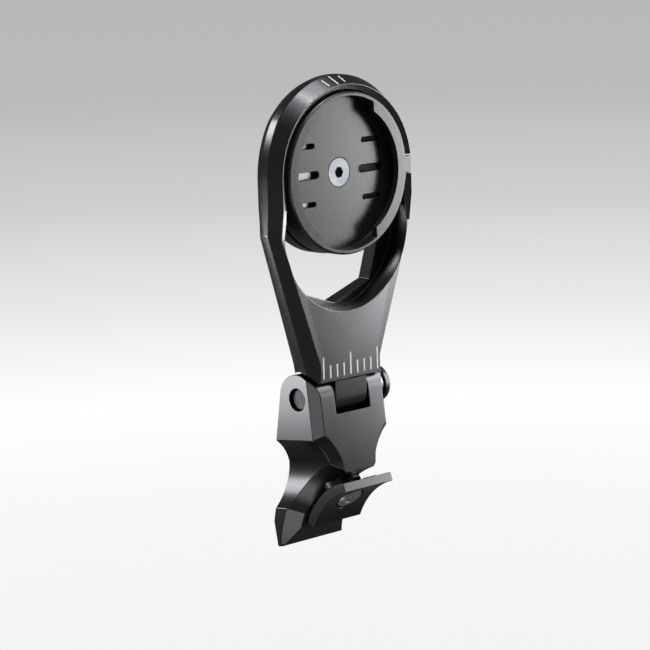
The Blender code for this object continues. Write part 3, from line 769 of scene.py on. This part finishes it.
def make_camera():
    data = bpy.data.cameras.new("camera")
    data.lens = 146.81
    data.sensor_width = 36.0
    data.clip_start = 0.01
    data.clip_end = 100.0
    camera = bpy.data.objects.new("camera", data)
    bpy.context.scene.collection.objects.link(camera)
    aim = turn(-43.273, "Z") @ turn(90 - 10.308, "X") @ turn(-1.660, "Z")
    camera.matrix_world = Matrix.Translation((-0.356987, -0.375896, 0.126610)) @ aim
    bpy.context.scene.camera = camera


def softbox(name, place, target, size, brightness):
    """A rectangular lamp whose surface has the given radiance, unseen by the camera."""
    data = bpy.data.lights.new(name, "AREA")
    data.shape = "RECTANGLE"
    data.size, data.size_y = (side * MM for side in size)
    data.energy = brightness * math.pi * data.size * data.size_y
    light = bpy.data.objects.new(name, data)
    bpy.context.scene.collection.objects.link(light)
    light.location = Vector(place) * MM
    aim = (Vector(target) - Vector(place)).to_track_quat("-Z", "Y")
    light.rotation_euler = aim.to_euler()
    light.visible_camera = False
    return light


def make_lights():
    softbox("key", (119, -63, 60), (5, -5, 60), (70, 120), 10.5)
    softbox("plate_light", (182, -183, 46), (0, -17, -3), (50, 50), 4.5)
    softbox("left_low", (-98, 95, 8), (-10, 2, 31), (64, 40), 10.0)
    softbox("left_high", (-79, 95, 139), (-17, 2, 73), (60, 40), 9.0)
    softbox("left_front", (-83, -71, 14), (-10, -3, 16), (50, 36), 1.6)
    softbox("under_left", (-45, -12, -50), (-8, 8, -15), (40, 40), 1.6)
    softbox("overhead", (10, -38, 230), (-9, -3, 80), (160, 100), 3.6)
    softbox("overhead_strip", (10, -38, 228), (-9, -3, 80), (12, 110), 16.0)


def make_floor():
    """A pale floor far below the mount that glows by itself, with a painted pool of light that is brightest at a middle
    distance.
    """
    shape = bmesh.new()
    bmesh.ops.create_circle(shape, cap_ends=True, segments=96, radius=12)
    mesh = bpy.data.meshes.new("floor")
    shape.to_mesh(mesh)
    shape.free()
    floor = bpy.data.objects.new("floor", mesh)
    bpy.context.scene.collection.objects.link(floor)
    floor.location = (0, 0, -0.060)
    floor.visible_diffuse = False
    floor.visible_glossy = False
    # painted light: the floor's emission stands in for lamplight, a painted pool of light brightest at a middle
    # distance and fading outwards
    material = bpy.data.materials.new("painted_glow_floor")
    material.use_nodes = True
    nodes, links = material.node_tree.nodes, material.node_tree.links
    nodes.clear()
    place = nodes.new("ShaderNodeTexCoord")
    reach = nodes.new("ShaderNodeVectorMath")
    reach.operation = "LENGTH"
    ramp = nodes.new("ShaderNodeValToRGB")
    glow = nodes.new("ShaderNodeEmission")
    output = nodes.new("ShaderNodeOutputMaterial")
    spread = nodes.new("ShaderNodeMapRange")
    spread.inputs["From Max"].default_value = 4.0
    links.new(place.outputs["Object"], reach.inputs[0])
    links.new(reach.outputs["Value"], spread.inputs["Value"])
    links.new(spread.outputs["Result"], ramp.inputs["Fac"])
    links.new(ramp.outputs["Color"], glow.inputs["Color"])
    links.new(glow.outputs["Emission"], output.inputs["Surface"])
    painted_glow_tones = (
        (0.0, 0.88),
        (0.057, 0.93),
        (0.092, 1.0),
        (0.114, 0.92),
        (0.142, 0.81),
        (0.22, 0.62),
        (0.36, 0.50),
        (0.65, 0.48),
    )
    while len(ramp.color_ramp.elements) < len(painted_glow_tones):
        ramp.color_ramp.elements.new(0.5)
    for element, (place_on, tone) in zip(ramp.color_ramp.elements, painted_glow_tones):
        element.position = place_on
        element.color = (tone, tone, tone, 1)
    mesh.materials.append(material)


def make_world():
    """A weak grey surround that the camera sees as the floor's far tone."""
    world = bpy.data.worlds.new("studio")
    world.use_nodes = True
    nodes, links = world.node_tree.nodes, world.node_tree.links
    background = nodes["Background"]
    rays = nodes.new("ShaderNodeLightPath")
    strength = nodes.new("ShaderNodeMapRange")
    strength.inputs["To Min"].default_value = 0.1
    strength.inputs["To Max"].default_value = 0.48
    links.new(rays.outputs["Is Camera Ray"], strength.inputs["Value"])
    links.new(strength.outputs["Result"], background.inputs["Strength"])
    background.inputs["Color"].default_value = (1, 1, 1, 1)
    bpy.context.scene.world = world
    bpy.context.scene.view_settings.view_transform = "Standard"


def dress_hidden_nodes(bronze, steel, rubber):
    """The CAD nodes that stay, out of sight, with the finished materials."""
    looks = {
        bronze: ("hinge_bush_left", "hinge_bush_right", "screw_insert"),
        steel: ("clamp_nut", "clamp_washer"),
        rubber: ("insert_pad", "bolt_retainer"),
    }
    for material, names in looks.items():
        for name in names:
            mesh = frame["nodes"][name].data
            mesh.materials.clear()
            mesh.materials.append(material)


def main():
    arm_black = anodised("arm_anodising", 0.10)
    base_black = anodised("base_anodising", 0.07)
    moulded = insert_polymer()
    rubber = pad_rubber()
    bronze = plain_metal("bush_bronze", (0.42, 0.29, 0.14), (0.56, 0.41, 0.21), 0.35)
    steel = plain_metal("plated_steel", (0.52, 0.54, 0.56), (0.68, 0.70, 0.72), 0.25)
    bolt_steel = plain_metal("blackened_steel", (0.06, 0.06, 0.065), (0.10, 0.10, 0.11), 0.35)
    insert_centre = [c * MM for c in ARM_FRAME.translation]
    hinge_centre = [c * MM for c in HINGE]
    screw_face = turned_metal(
        "turned_steel", (0.10, 0.105, 0.115), (0.20, 0.21, 0.23), 0.40, insert_centre, "Y"
    )
    pin_face = turned_metal("turned_black_steel", (0.02, 0.02, 0.021), (0.10, 0.10, 0.105), 0.3, hinge_centre, "X")
    make_arm(arm_black)
    make_insert(moulded)
    make_insert_screw(screw_face)
    make_marks(etched_white())
    make_base(base_black)
    make_hinge(pin_face, bolt_steel, steel, bronze)
    make_clamp(base_black, steel, rubber)
    make_seat_parts(base_black, rubber)
    dress_hidden_nodes(bronze, steel, rubber)
    make_camera()
    make_lights()
    make_floor()
    make_world()


main()
